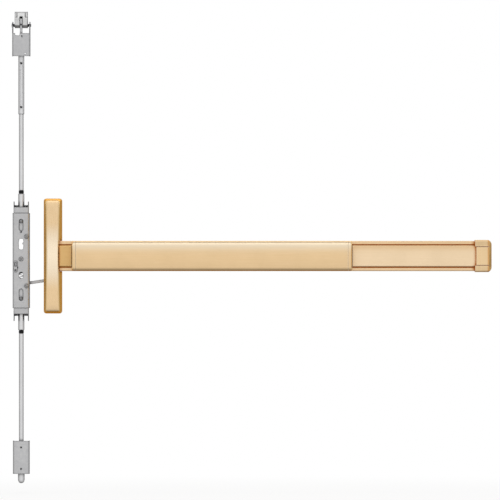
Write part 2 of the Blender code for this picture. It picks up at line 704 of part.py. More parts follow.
def make_case():
    """Centre case: a folded channel with its slots, holes and notches."""
    back = ROD_Y + CASE_DEPTH / 2
    height = CASE_TOP - CASE_BOTTOM
    section = channel(CASE_WIDTH / 2, CASE_FRONT, back, CASE_WALL, CASE_ROUND)
    case = plate("centre_case", [section], height, "XY",
                 (ROD_X, 0, (CASE_TOP + CASE_BOTTOM) / 2), STEEL)
    run = TRAVEL + 0.0006
    upper_mid = CASE_TOP - WEB_REACH - HALF_TRAVEL - 0.0045
    lower_mid = CASE_BOTTOM + WEB_REACH + HALF_TRAVEL + 0.007
    fronts = [slot(0, upper_mid, run, SLIDE_STUD + 0.0008, math.pi / 2),
              rounded([(-0.0045, 0.013), (0.0040, 0.013), (0.0048, 0.0215), (0.0022, 0.0250),
                       (0.0048, 0.0285), (0.0035, 0.0345), (-0.0035, 0.0345), (-0.0048, 0.027)],
                      [0.003, 0.003, 0.002, 0.001, 0.002, 0.002, 0.002, 0.002]),
              circle(0, ROCKER_Z, ROCKER_PIVOT + GAP),
              slot(0, -0.0385, 0.005, 0.004, math.pi / 2),
              slot(0, lower_mid, run, SLIDE_STUD + 0.0008, math.pi / 2),
              circle(0.011, 0.039, 0.0025 + GAP), circle(0.011, -0.060, 0.0025 + GAP),
              circle(0, 0.048, 0.0015), circle(-0.007, -0.023, 0.0013)]
    cut_wall(case, "case_front", fronts, "front", CASE_FRONT)
    window = HALF_TRAVEL + HEAD_TIP + 0.0012
    crank_mid = HEAD_CRANK_FRONT + HEAD_CRANK_PLATE / 2
    slit = HEAD_CRANK_PLATE / 2 + 0.0008
    rights = [rectangle(crank_mid - slit, HEAD_PIVOT_Z - window, crank_mid + slit,
                        HEAD_PIVOT_Z + window, 0.001),
              rounded([(back - 0.002, -0.020), (back + 0.002, -0.020), (back + 0.002, -0.004),
                       (back - 0.002, -0.004)], [0.001, 0, 0, 0.001])]
    cut_wall(case, "case_right", rights, "right", CASE_WIDTH / 2)
    lefts = [rounded([(back - 0.019, 0.013), (back + 0.002, 0.0155), (back + 0.002, 0.050),
                      (back - 0.019, 0.040)], [0.002, 0.0, 0.0, 0.004]),
             slot(back - 0.008, CASE_TOP - 0.012, 0.012, 0.0015, math.pi / 2),
             slot(back - 0.008, CASE_BOTTOM + 0.012, 0.010, 0.0015, math.pi / 2),
             circle(back - 0.011, CASE_TOP - 0.026, 0.0016),
             circle(back - 0.011, CASE_BOTTOM + 0.026, 0.0016)]
    cut_wall(case, "case_left", lefts, "left", -CASE_WIDTH / 2)
    return upper_mid + HALF_TRAVEL, lower_mid - HALF_TRAVEL


def make_case_fixings():
    """Studs, clip and spring strap that belong to the centre case."""
    for label, height in (("upper", 0.039), ("lower", -0.060)):
        profile = [(-0.0055, 0.0), (-0.0055, 0.003), (-0.0045, 0.0042), (-GAP, 0.0042),
                   (-GAP, 0.0025), (CASE_WALL, 0.0025), (CASE_WALL, 0.0)]
        turned("case_stud_" + label, profile, "Y", (ROD_X + 0.011, CASE_FRONT, height), STEEL)
    profile = [(-0.0021, 0.0), (-0.0021, 0.0042), (-GAP, 0.0046), (-GAP, ROCKER_PIVOT),
               (SLIDE_WALL + CASE_WALL + 0.0103, ROCKER_PIVOT), (SLIDE_WALL + CASE_WALL + 0.0103, 0.0)]
    turned("rocker_pivot", profile, "Y", (ROD_X, CASE_FRONT, ROCKER_Z), STEEL)
    clip = [rounded([(-0.0148, -0.0325), (-0.0075, -0.0325), (-0.0075, -0.010), (-0.0148, -0.010)],
                    [0.0036, 0.0036, 0.001, 0.001]),
            circle(-0.0111, -0.0285, 0.0018),
            rectangle(-0.0132, -0.0205, -0.0091, -0.013, 0.0006)]
    plate("case_clip", clip, 0.0014, "XZ", (ROD_X, CASE_FRONT - GAP - 0.0007, 0), STEEL)

    back = ROD_Y + CASE_DEPTH / 2 + GAP
    seat = -0.029
    corners = [(back, seat), (ROD_Y - 0.008, seat), (ROD_Y - 0.008, seat + 0.0016),
               (back, seat + 0.0016), (back, seat + 0.010), (back + 0.0016, seat + 0.010),
               (back + 0.0016, seat - 0.006), (back, seat - 0.006)]
    strap = plate("spring_strap", [corners], 0.014, "YZ", (ROD_X, 0, 0), STEEL)
    wing = block("strap_wing", (ROD_X - CASE_WIDTH / 2, back, seat + 0.001),
                 (ROD_X + CASE_WIDTH / 2, back + 0.0016, seat + 0.010))
    shape(strap, wing, "UNION")
    return seat


def make_slide(name, sign, tip, web_end, leg_tip, web_start, slot_z):
    """Folded slide with two tabs, a web and one leg that the rocker moves.

    sign is 1 for the upper slide, whose tabs point up, and -1 for the lower one.
    """
    middle = (tip + leg_tip) / 2
    section = channel(SLIDE_HALF, SLIDE_FRONT, SLIDE_BACK, SLIDE_WALL, SLIDE_WALL)
    slide = plate(name, [section], abs(tip - leg_tip), "XY", (ROD_X, 0, middle), STEEL)
    far = 0.002
    low, high = sorted((web_end, tip + sign * far))
    room = SLIDE_HALF - SLIDE_WALL + FOLD_RELIEF
    shape(slide, block(name + "_mouth", (ROD_X - room, SLIDE_FRONT - far, low),
                       (ROD_X + room, SLIDE_FRONT + 2 * SLIDE_WALL, high)))
    low, high = sorted((web_start, leg_tip - sign * far))
    web_back = SLIDE_FRONT + SLIDE_WALL - FOLD_RELIEF
    shape(slide, block(name + "_flanges", (ROD_X - SLIDE_HALF - far, web_back, low),
                       (ROD_X + SLIDE_HALF + far, SLIDE_BACK + far, high)))
    inner = ROCKER_PIVOT + 0.0015
    side = sorted((ROD_X - sign * (SLIDE_HALF + far), ROD_X + sign * inner))
    shape(slide, block(name + "_leg", (side[0], SLIDE_FRONT - far, low),
                       (side[1], SLIDE_FRONT + SLIDE_WALL + far, high)))
    across = ROCKER_ARM * math.cos(ROCKER_REST)
    slack = ROCKER_ARM - across
    hole = slot(sign * (across + slack / 2), slot_z, slack, ROCKER_PIN + SLOT_GAP)
    cut_wall(slide, name + "_slot", [hole], "front", SLIDE_FRONT)
    corner = 0.007
    outline = [(SLIDE_BACK + far, tip + sign * far), (SLIDE_BACK - corner, tip + sign * far),
               (SLIDE_BACK - corner, tip), (SLIDE_BACK, tip - sign * corner),
               (SLIDE_BACK + far, tip - sign * corner)]
    shape(slide, plate(name + "_corner", [outline], CASE_WIDTH, "YZ", (ROD_X, 0, 0)))
    return slide


def finish_slide(slide, pin_z, stud_z):
    """Cross pin and front stud of a slide."""
    label = slide.name.split("_")[0]
    bore = pin(label + "_pin_bore", CROSS_PIN + GAP, -CASE_WIDTH, CASE_WIDTH, "X",
               (ROD_X, ROD_Y, pin_z))
    shape(slide, bore)
    shape(bpy.data.objects[label + "_sleeve"], bore)
    pin(label + "_cross_pin", CROSS_PIN, -SLIDE_HALF, SLIDE_HALF, "X", (ROD_X, ROD_Y, pin_z), STEEL)
    shape(slide, pin(label + "_stud_bore", 0.002 + GAP, 0, ROD_Y - SLEEVE_RADIUS, "Y",
                     (ROD_X, 0, stud_z)))
    front = CASE_FRONT - 0.0018
    rear = SLIDE_FRONT + SLIDE_WALL
    profile = [(front, 0.0), (front, SLIDE_STUD - 0.0006), (front + 0.0006, SLIDE_STUD),
               (SLIDE_FRONT - GAP, SLIDE_STUD), (SLIDE_FRONT - GAP, 0.002), (rear + GAP, 0.002),
               (rear + GAP, SLIDE_STUD), (rear + 0.0012, SLIDE_STUD), (rear + 0.0012, 0.0)]
    turned(label + "_slide_stud", profile, "Y", (ROD_X, 0, stud_z), STEEL)


def make_rocker():
    """Two-armed rocker that turns the lift of one slide into the drop of the other."""
    front = SLIDE_FRONT + SLIDE_WALL + 0.0025
    centre = (ROD_X, front + ROCKER_PLATE / 2, ROCKER_Z)
    arms = [(ROCKER_REST, ROCKER_ARM, ROCKER_END, ROCKER_END),
            (ROCKER_REST + math.pi, ROCKER_ARM, ROCKER_END, ROCKER_END)]
    rocker = plate("rocker", [lever(0.0055, arms), circle(0, 0, ROCKER_PIVOT + GAP)],
                   ROCKER_PLATE, "XZ", centre, STEEL)
    across = ROCKER_ARM * math.cos(ROCKER_REST)
    for sign in (1, -1):
        where = (ROD_X + sign * across, 0, ROCKER_Z + sign * HALF_TRAVEL)
        tool = pin(f"rocker_pin_{sign}", ROCKER_PIN, SLIDE_FRONT + GAP, front + 0.001, "Y", where)
        shape(rocker, tool, "UNION")


def make_rod_joint(label, sign, sleeve_inner, sleeve_outer):
    """Sleeve in the slide and the black adjusting stud between it and the rod."""
    low, high = sorted((sleeve_inner, sleeve_outer))
    tube(label + "_sleeve", SLEEVE_RADIUS, ROD_BORE, low, high, STEEL)
    band = sleeve_outer + sign * GAP
    far = band + sign * BAND_HEIGHT
    marks = [(band - sign * 0.016, 0.0), (band - sign * 0.016, STUD_RADIUS), (band, STUD_RADIUS),
             (band, BAND_RADIUS), (far, BAND_RADIUS), (far, STUD_RADIUS),
             (far + sign * 0.016, STUD_RADIUS), (far + sign * 0.016, 0.0)]
    turned(label + "_adjuster", marks if sign > 0 else marks[::-1], "Z", (ROD_X, ROD_Y, 0), DARK)
    return far + sign * GAP


def make_top_rod(rod_start):
    """Top rod, its wide tube and the head plate that pulls the top bolt."""
    tube_low, tube_high = 0.284, LATCH_BOTTOM + 0.001
    tube("top_rod", ROD_RADIUS, ROD_BORE, rod_start, tube_low + 0.022, STEEL)
    wide = plate("top_rod_tube", [circle(0, 0, TOP_TUBE_RADIUS), circle(0, 0, ROD_RADIUS + GAP)],
                 tube_high - tube_low, "XY", (ROD_X, ROD_Y, (tube_low + tube_high) / 2), STEEL)
    link_z = BOLT_PIVOT_Z + HALF_TRAVEL
    near = BOLT_PIVOT_Y - BOLT_ARM
    far = BOLT_PIVOT_Y - BOLT_ARM * math.cos(BOLT_REST)
    half = LINK_PIN + 0.0035
    base = LATCH_BOTTOM + 0.002
    corners = [(ROD_Y - ROD_RADIUS, base), (ROD_Y + ROD_RADIUS, base),
               (ROD_Y + ROD_RADIUS, base + 0.010), (0.0165, base + 0.022), (0.0165, link_z + half),
               (near - 0.0045, link_z + half), (near - 0.0045, link_z - half),
               (0.0098, link_z - half), (0.0098, base + 0.018)]
    outline = rounded(corners, [0, 0, 0.003, 0.003, 0.003, 0.003, 0.002, 0.001, 0.004])
    hole = slot((near + far) / 2, link_z, far - near, LINK_PIN + GAP)
    head = plate("rod_head", [outline, hole], LINK_PLATE, "YZ", (ROD_X, 0, 0), STEEL)
    shape(head, pin("rod_head_plug", ROD_RADIUS, base - 0.022, base + 0.004, "Z",
                    (ROD_X, ROD_Y, 0)), "UNION")
    for label, height in (("upper", LATCH_BOTTOM - 0.014), ("lower", tube_low + 0.014)):
        bore = pin("tube_bore_" + label, 0.0016 + GAP, -0.010, 0.010, "Y", (ROD_X, ROD_Y, height))
        shape(wide, bore)
        shape(head if label == "upper" else bpy.data.objects["top_rod"], bore)
        pin("tube_pin_" + label, 0.0016, 0.0006 - TOP_TUBE_RADIUS, TOP_TUBE_RADIUS - 0.0006, "Y",
            (ROD_X, ROD_Y, height), DARK)


def make_top_latch():
    """Folded top latch case with its pivoting bolt and pins."""
    half = LATCH_WIDTH / 2
    back = ROD_Y + CASE_DEPTH / 2
    section = channel(half, CASE_FRONT, back, LATCH_WALL, CASE_ROUND)
    ear_top = BOLT_PIVOT_Z + 0.007
    case = plate("top_latch_case", [section], ear_top - LATCH_BOTTOM, "XY",
                 (ROD_X, 0, (ear_top + LATCH_BOTTOM) / 2), STEEL)
    room = half - LATCH_WALL
    shape(case, block("latch_window", (ROD_X - room, 0, LATCH_FRONT_TOP),
                      (ROD_X + room, ROD_Y, ear_top + 0.001)))
    shoulder = LATCH_FRONT_TOP + 0.008
    trim = rounded([(CASE_FRONT - 0.003, shoulder), (CASE_FRONT + 0.002, shoulder),
                    (CASE_FRONT + 0.006, LATCH_TOP - 0.004), (0.024, LATCH_TOP - 0.003),
                    (0.026, ear_top + 0.002), (CASE_FRONT - 0.003, ear_top + 0.002)],
                   [0, 0.003, 0.003, 0.002, 0.002, 0])
    ear = [(back - 0.003, ear_top + 0.002), (back - 0.003, ear_top),
           (back + 0.001, ear_top - 0.005), (back + 0.002, ear_top + 0.002)]
    heel = [(back + 0.002, LATCH_BOTTOM - 0.001), (back + 0.002, LATCH_BOTTOM + 0.006),
            (back - 0.008, LATCH_BOTTOM - 0.001)]
    for i, loop in enumerate((trim, ear, heel)):
        shape(case, plate(f"latch_trim_{i}", [loop], LATCH_WIDTH + 0.004, "YZ", (ROD_X, 0, 0)))
    lefts = [circle(0.0165, 0.444, 0.0034), circle(0.027, 0.436, 0.0013),
             circle(0.0135, 0.431, 0.0013), circle(0.0205, 0.420, 0.0036),
             slot(0.0215, 0.409, 0.010, 0.0016, math.pi / 2)]
    cut_wall(case, "latch_left", lefts, "left", -half)
    fronts = [circle(0.002, LATCH_FRONT_TOP - 0.006, 0.0014), circle(0.008, 0.405, 0.0014),
              rounded([(-0.012, 0.4415), (-0.003, 0.4415), (-0.003, 0.450), (-0.012, 0.450)],
                      [0.0015, 0.0015, 0, 0])]
    cut_wall(case, "latch_front", fronts, "front", CASE_FRONT)
    shape(case, pin("latch_bore", BOLT_PIN + GAP, -LATCH_WIDTH, LATCH_WIDTH, "X",
                    (ROD_X, BOLT_PIVOT_Y, BOLT_PIVOT_Z)))

    y, z = BOLT_PIVOT_Y, BOLT_PIVOT_Z
    corners = [(y - 0.0255, z - 0.001), (y - 0.0255, z + 0.013), (y - 0.019, z + 0.025),
               (y - 0.010, z + 0.0275), (y - 0.002, z + 0.021), (y + 0.0055, z + 0.003),
               (y + 0.0055, z - 0.0055), (y - 0.003, z - 0.0055), (y - 0.012, z - 0.0045)]
    outline = rounded(corners, [0.003, 0.004, 0.004, 0.004, 0.004, 0.004, 0.0045, 0.003, 0.006], 5)
    bolt = plate("top_bolt", [outline], BOLT_WIDTH, "YZ", (ROD_X, 0, 0), STEEL)
    slit = LINK_PLATE / 2 + GAP
    shape(bolt, block("bolt_slit", (ROD_X - slit, y - 0.030, z - 0.010),
                      (ROD_X + slit, y - 0.0095, z + 0.017)))
    shape(bolt, pin("bolt_bore", BOLT_PIN + GAP, -BOLT_WIDTH, BOLT_WIDTH, "X", (ROD_X, y, z)))
    link = (ROD_X, y - BOLT_ARM * math.cos(BOLT_REST), z + HALF_TRAVEL)
    shape(bolt, pin("link_bore", LINK_PIN + GAP, -BOLT_WIDTH, BOLT_WIDTH, "X", link))
    groove = rounded([(y - 0.030, z + 0.0155), (y - 0.021, z + 0.0155), (y - 0.0165, z + 0.030),
                      (y - 0.030, z + 0.030)], [0, 0.002, 0, 0])
    for sign in (1, -1):
        where = (ROD_X + sign * (BOLT_WIDTH / 2 - 0.002), 0, 0)
        shape(bolt, plate(f"bolt_groove_{sign}", [groove], 0.006, "YZ", where))
    pin("link_pin", LINK_PIN, 0.0002 - BOLT_WIDTH / 2, BOLT_WIDTH / 2 - 0.0002, "X", link, STEEL)
    head = half + 0.0012
    profile = [(-head, 0.0), (-head, 1.5 * BOLT_PIN), (-half - GAP, 1.5 * BOLT_PIN),
               (-half - GAP, BOLT_PIN), (head, BOLT_PIN), (head, 0.0)]
    turned("top_bolt_pin", profile, "X", (ROD_X, y, z), STEEL)


def make_bottom_latch(rod_start):
    """Bottom latch case, its guides, the bolt with its spring, and the bottom rod."""
    back = ROD_Y + FOOT_DEPTH / 2
    front = ROD_Y - FOOT_DEPTH / 2
    half = FOOT_WIDTH / 2
    floor = FOOT_TOP - FOOT_HEIGHT
    section = channel(half, front, back, FOOT_WALL, CASE_ROUND)
    case = plate("bottom_latch_case", [section], FOOT_HEIGHT, "XY",
                 (ROD_X, 0, FOOT_TOP - FOOT_HEIGHT / 2), STEEL)
    fronts = [circle(0, FOOT_TOP - 0.013, 0.0016), circle(0, floor + 0.010, 0.0016)]
    cut_wall(case, "foot_front", fronts, "front", front)
    lefts = [circle(back - 0.004, FOOT_TOP - 0.026, 0.0026),
             circle(back - 0.019, FOOT_TOP - 0.026, 0.0026),
             circle(back - 0.004, floor + 0.008, 0.0026),
             circle(back - 0.019, floor + 0.008, 0.0026),
             circle(back - 0.004, FOOT_TOP - 0.036, 0.0013),
             circle(back - 0.019, FOOT_TOP - 0.036, 0.0013),
             circle(back - 0.019, floor + 0.017, 0.0013)]
    cut_wall(case, "foot_left", lefts, "left", -half)

    width = half - FOOT_WALL - GAP
    inner = front + FOOT_WALL + GAP
    corner = CASE_ROUND - FOOT_WALL
    for label, height, bore in (("upper", FOOT_TOP - 0.004 - GUIDE_PLATE / 2, ROD_RADIUS + GAP),
                                ("lower", floor + GUIDE_PLATE / 2, FOOT_BOLT + GAP)):
        outline = rounded([(-width, inner - ROD_Y), (width, inner - ROD_Y),
                           (width, back - ROD_Y), (-width, back - ROD_Y)], [corner, corner, 0, 0])
        plate("bottom_guide_" + label, [outline, circle(0, 0, bore)], GUIDE_PLATE, "XY",
              (ROD_X, ROD_Y, height), STEEL)

    seat = FOOT_TOP - 0.004 - GUIDE_PLATE - FOOT_SPRING_SPACE
    tip = floor - FOOT_BOLT_REACH
    collar = floor + GUIDE_PLATE + 0.0005
    profile = [(tip, 0.0), (tip + 0.0003, 0.0022), (tip + 0.0014, 0.0042), (tip + 0.0036, 0.0058),
               (tip + 0.0070, FOOT_BOLT), (collar, FOOT_BOLT), (collar, FOOT_BOLT + 0.0025),
               (collar + 0.003, FOOT_BOLT + 0.0025), (collar + 0.003, FOOT_BOLT), (seat, FOOT_BOLT),
               (seat, STUD_RADIUS), (seat + 0.016, STUD_RADIUS), (seat + 0.016, 0.0)]
    turned("bottom_bolt", profile, "Z", (ROD_X, ROD_Y, 0), STEEL)
    tube("bottom_rod", ROD_RADIUS, ROD_BORE, seat + GAP, rod_start, STEEL)
    coil("bottom_bolt_spring", 0.0060, 0.0008, seat + GAP, FOOT_TOP - 0.004 - GUIDE_PLATE - GAP, 6,
         WIRE)


def centre_on_bar():
    """Move everything so that the origin is behind the middle of the channel."""
    bpy.context.view_layer.update()
    shift = Matrix.Translation((-(BAR_START + BAR_END) / 2, 0, 0))
    for piece in list(parts.objects) + list(tools.objects):
        piece.matrix_world = shift @ piece.matrix_world


def build():
    """Make the whole device."""
    start_scene()
    make_head_cover()
    make_head_chassis()
    make_channel()
    make_filler("filler_neck", BAR_START + 0.0005, PAD_START - 0.0012)
    make_filler("filler_strip", PAD_END + 0.0012, BAR_END)
    make_touch_pad()
    for label, centre_x in CRANK_CENTRES.items():
        make_crank(label, centre_x)
    make_actuator()
    make_head_crank()
    make_end_cap()

    upper_stud, lower_stud = make_case()
    spring_seat = make_case_fixings()
    upper_end = make_rod_joint("upper", 1, CASE_TOP - YOKE_GAP, CASE_TOP + 0.0386)
    lower_end = make_rod_joint("lower", -1, CASE_BOTTOM + YOKE_GAP, CASE_BOTTOM - 0.044)
    leg = ROCKER_Z + HALF_TRAVEL - 0.0055
    web = ROCKER_Z + TRAVEL + WEB_RELIEF
    upper = make_slide("upper_slide", 1, CASE_TOP + TAB_REACH, CASE_TOP + WEB_REACH, leg, web,
                       UPPER_SLOT_Z)
    lower = make_slide("lower_slide", -1, CASE_BOTTOM - TAB_REACH - 0.003, CASE_BOTTOM - WEB_REACH,
                       2 * ROCKER_Z - leg, 2 * ROCKER_Z - web, LOWER_SLOT_Z)
    finish_slide(upper, CASE_TOP + WEB_REACH + 0.002, upper_stud)
    finish_slide(lower, CASE_BOTTOM - WEB_REACH - 0.002, lower_stud)
    crank_mid = HEAD_CRANK_FRONT + HEAD_CRANK_PLATE / 2
    slit = HEAD_CRANK_PLATE / 2 + 0.0006
    window = rectangle(crank_mid - slit, HEAD_TIP_Z - HEAD_TIP - SLOT_GAP, crank_mid + slit,
                       HEAD_TIP_Z + HEAD_TIP + SLOT_GAP)
    cut_wall(lower, "tip_window", [window], "right", SLIDE_HALF)
    make_rocker()
    shelf_top = CASE_BOTTOM + YOKE_GAP + 0.0022
    shelf = block("lower_shelf", (ROD_X - SLIDE_HALF + 0.0008, SLIDE_FRONT + 0.0008, shelf_top - 0.0016),
                  (ROD_X + SLIDE_HALF - 0.0008, ROD_Y + 0.0065, shelf_top))
    shape(lower, shelf, "UNION")
    coil("slide_spring", 0.0048, 0.0007, shelf_top + GAP, spring_seat - GAP, 7, WIRE)
    make_top_rod(upper_end)
    make_top_latch()
    make_bottom_latch(lower_end)
    centre_on_bar()


build()
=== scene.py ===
import json
import math

import bmesh
import bpy
from mathutils import Matrix, Vector


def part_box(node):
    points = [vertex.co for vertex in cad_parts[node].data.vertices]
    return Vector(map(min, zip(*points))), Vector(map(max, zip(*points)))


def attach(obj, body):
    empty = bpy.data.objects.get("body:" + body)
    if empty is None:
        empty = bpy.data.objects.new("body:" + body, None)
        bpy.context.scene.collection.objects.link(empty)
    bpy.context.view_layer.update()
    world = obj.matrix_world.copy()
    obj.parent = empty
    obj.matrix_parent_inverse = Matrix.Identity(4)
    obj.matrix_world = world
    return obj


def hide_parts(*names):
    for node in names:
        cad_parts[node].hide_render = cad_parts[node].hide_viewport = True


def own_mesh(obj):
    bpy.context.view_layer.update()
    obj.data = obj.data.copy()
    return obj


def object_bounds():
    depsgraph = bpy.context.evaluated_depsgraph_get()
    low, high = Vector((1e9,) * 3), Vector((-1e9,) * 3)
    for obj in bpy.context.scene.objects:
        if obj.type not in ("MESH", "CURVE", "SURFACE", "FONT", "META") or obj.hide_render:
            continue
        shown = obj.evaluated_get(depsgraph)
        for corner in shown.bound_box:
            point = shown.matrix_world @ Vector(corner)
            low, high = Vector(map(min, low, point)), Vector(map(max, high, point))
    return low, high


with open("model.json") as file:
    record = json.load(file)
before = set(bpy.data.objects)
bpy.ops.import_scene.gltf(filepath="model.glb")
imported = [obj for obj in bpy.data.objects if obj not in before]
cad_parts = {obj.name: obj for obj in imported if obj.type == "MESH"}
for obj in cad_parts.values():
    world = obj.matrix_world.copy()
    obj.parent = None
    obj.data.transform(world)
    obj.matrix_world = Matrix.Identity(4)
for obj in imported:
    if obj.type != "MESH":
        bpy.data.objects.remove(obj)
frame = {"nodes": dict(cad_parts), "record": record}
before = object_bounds()

# Camera, from the photograph: metres a pixel, and the pixels of the head's middle
PHOTO_SCALE = 0.002
HEAD_PX = 53.0
LEVEL_PX = 256.0
FRAME_PX = 500.0
LENS = 600.0
SENSOR = 36.0
CLIP_START = 0.1

# Floor of white paper, which glows more the further it is from the device
FLOOR_REACH = 8.0
FLOOR_GAP = 0.02
PAPER = (0.9, 0.9, 0.9)
PAPER_ROUGH = 0.9
PAPER_NEAR = 0.5
PAPER_FAR = 1.5
PAPER_GLOW = 0.80

# Sky, as the metal sees it: bright in front, greyer to the rear, dimmer at the sides and far down
SKY_TURN = [(0.0, (0.90, 0.90, 0.90)), (0.15, (0.88, 0.88, 0.88)), (0.4, (0.74, 0.74, 0.74)),
            (0.55, (0.52, 0.52, 0.51)), (0.7, (0.44, 0.43, 0.42))]
SKY_SIDE = (0.6, 0.97, 1.0, 0.90)
SKY_LOW = (-0.95, -0.4, 0.60, 1.0)
SKY_TILT = (-0.4, 0.4, 1.10, 1.00)
SKY_TOP = (0.35, 0.8, 0.0, 0.22)
SKY_AHEAD = (-0.1, 0.4, 1.0, 0.2)

# Soft boxes: name, place from the device's middle, size and power
SOFT_BOXES = [
    ("level_strip", (0.0, -3.0, 0.05), (6.0, 0.5), 3.4),
    ("top_box", (0.0, -0.5, 2.6), (2.6, 1.6), 7.5),
    ("rear_box", (0.0, 2.2, 1.8), (3.4, 1.8), 19.0),
    ("left_box", (-2.8, 0.9, 1.6), (1.6, 1.6), 7.0),
    ("right_box", (2.8, 0.9, 1.6), (1.6, 1.6), 7.0),
]

# Painted shade in the joints, creases and slots, and on the neck a wider painted shadow beside the
# pad and head: colour, reach, and the open share where it is full and where it ends
JOINT_SHADE = ((0.42, 0.12, 0.008), 0.009, 0.56, 0.92)
SHADED = ((0.40, 0.13, 0.01), 0.011, 0.48, 0.88)
ZINC_JOINT_SHADE = ((0.05, 0.05, 0.055), 0.012, 0.30, 0.85)

# Edge colours, a painted highlight along the bronze's edges, darker edges on the zinc and lighter
# ones on the black steel and the wire: colour, radius, and the bend where they are full and where
# they end
EDGE_HIGHLIGHT = ((0.95, 0.82, 0.62), 0.0012, 0.90, 0.997)
DARK_EDGE = ((0.09, 0.09, 0.095), 0.0024, 0.92, 0.999)
BLACK_EDGE = ((0.10, 0.10, 0.10), 0.0004, 0.90, 0.997)
WIRE_EDGE = ((0.5, 0.5, 0.5), 0.0002, 0.90, 0.997)

# Tints of the metals at grazing angles
AMBER = (0.95, 0.56, 0.14)
SLATE = (0.45, 0.45, 0.47)

# Painted shade on the bronze's flanks and undersides: tint, then how far a face turns before it is
# toned, and how much
FLANK_SHADE = ((0.98, 0.68, 0.31), (0.30, 0.80, 0.0, 0.85))
UNDERSIDE_SHADE = ((0.80, 0.38, 0.05), (0.65, 0.97, 0.0, 0.95))

# Lacquer, clouding and grain
LACQUER = 0.06
LACQUER_ROUGH = 0.25
CLOUD_SCALE = 14.0
CLOUD_MASK = (0.62, 0.35, 0.0, 0.35)
CLOUD_SHADE = 0.9
GRAIN_MARKS = (0.3, 0.7)
GRAIN_SPAN = (0.25, 0.75)
GRAIN_DEPTH = 0.0002
NOISE_DETAIL = 4.0
NOISE_ROUGH = 0.6
LEVEL = (0.03, 1.0, 1.0)
UPRIGHT = (1.0, 1.0, 0.03)
EVEN = (1.0, 1.0, 1.0)

# Colours of each metal, between which its grain runs
SATIN = ((0.79, 0.555, 0.315), (0.85, 0.61, 0.365))
CLEAN = ((0.825, 0.592, 0.338), (0.885, 0.652, 0.388))
PALE = ((0.83, 0.635, 0.41), (0.88, 0.685, 0.46))
PAD = ((0.765, 0.545, 0.30), (0.82, 0.595, 0.345))
# The cap's tones are a darker copy of the head's polished bronze: painted shade
CAP = ((0.725, 0.518, 0.29), (0.78, 0.573, 0.334))
# The neck's tones are a darker copy of the bronze: painted shade for the shadow of the pad and
# head
NECK_SHADED = ((0.68, 0.43, 0.17), (0.74, 0.48, 0.21))
SHEET = ((0.48, 0.48, 0.49), (0.60, 0.60, 0.60))
ROUND = ((0.68, 0.68, 0.69), (0.80, 0.80, 0.80))
CAST = ((0.58, 0.58, 0.58), (0.70, 0.70, 0.69))
OXIDE = ((0.012, 0.012, 0.013), (0.03, 0.03, 0.03))
DRAWN = ((0.36, 0.36, 0.38), (0.46, 0.46, 0.48))

# Painted bands of light and shade: a highlight towards the top of the pad and in the middle of the
# head, shade towards the top of the strip and at the cap's outer end. Axis, where the band starts,
# its reach, its share at both ends, colour
PAD_TOP_HIGHLIGHT = ("Z", -0.006, 0.029, (0.0, 0.80), (0.92, 0.80, 0.61))
STRIP_TOP_SHADE = ("Z", 0.0, 0.018, (0.0, 0.6), (0.71, 0.47, 0.24))
HEAD_MIDDLE_HIGHLIGHT = ("Z", None, 0.07, (0.6, 0.0), (0.90, 0.82, 0.68))
CAP_END_SHADE = ("X", 0.4345, 0.007, (0.0, 0.9), (0.56, 0.24, 0.04))

# Crown of the pad, the roll of its upper edge, and the dish of the strip, as bump over Z squared
PAD_CROWN = -1.8
PAD_ROLL = (0.015, -13.0)
STRIP_DISH = 2.0

# Welding, smoothing and softened edges of the CAD meshes
WELD = 0.000002
SMOOTH_ANGLE = 32.0
FLAT_ANGLE = 0.5
EDGE_ANGLE = 35.0
EDGE_SEGMENTS = 2
EDGE_SAMPLES = 4
EDGE = {"satin_bronze": 0.0004, "zinc_steel": 0.00025, "black_steel": 0.0003, "spring_wire": 0.0}

# Riveted ends: node, body, way out, radius, height and slot, with a profile in shares of them
PEENS = [
    ("case_stud_upper", "device", (0, -1, 0), 0.0024, 0.0005, "zinc_steel"),
    ("case_stud_lower", "device", (0, -1, 0), 0.0024, 0.0005, "zinc_steel"),
    ("rocker_pivot", "device", (0, -1, 0), 0.0026, 0.0006, "zinc_steel"),
    ("upper_slide_stud", "upper_train", (0, -1, 0), 0.0018, 0.0004, "zinc_steel"),
    ("lower_slide_stud", "lower_train", (0, -1, 0), 0.0018, 0.0004, "zinc_steel"),
    ("head_pivot_post", "device", (0, 1, 0), 0.0024, 0.0005, "zinc_steel"),
    ("top_bolt_pin", "device", (-1, 0, 0), 0.0022, 0.0004, "zinc_steel"),
    ("top_bolt_pin", "device", (1, 0, 0), 0.0022, 0.0004, "zinc_steel"),
    ("tube_pin_upper", "upper_train", (0, -1, 0), 0.0012, 0.0003, "black_steel"),
    ("tube_pin_lower", "upper_train", (0, -1, 0), 0.0012, 0.0003, "black_steel"),
    ("tube_pin_upper", "upper_train", (0, 1, 0), 0.0012, 0.0003, "black_steel"),
    ("tube_pin_lower", "upper_train", (0, 1, 0), 0.0012, 0.0003, "black_steel"),
]
PEEN_SIDES = 24
PEEN_SHARES = [(1.0, 0.2), (0.86, 0.8), (0.62, 1.0), (0.42, 0.85), (0.3, 0.3), (0.0, 0.1)]

# Screws: label, node, shank radius and pitch. The thread starts just behind the door face,
# and its ridge has feet and crests at these shares of the pitch
SCREWS = [
    ("chassis_upper", "chassis_screw_upper", 0.0025, 0.0008),
    ("chassis_lower", "chassis_screw_lower", 0.0025, 0.0008),
    ("bracket_upper", "bracket_screw_upper", 0.0020, 0.0007),
    ("bracket_lower", "bracket_screw_lower", 0.0020, 0.0007),
]
THREAD_START = 0.0006
THREAD_CREST = 0.00022
THREAD_RIDGE = (-0.42, -0.08, 0.08, 0.42)
THREAD_STEPS = 16
SCREW_TIP = 1.2

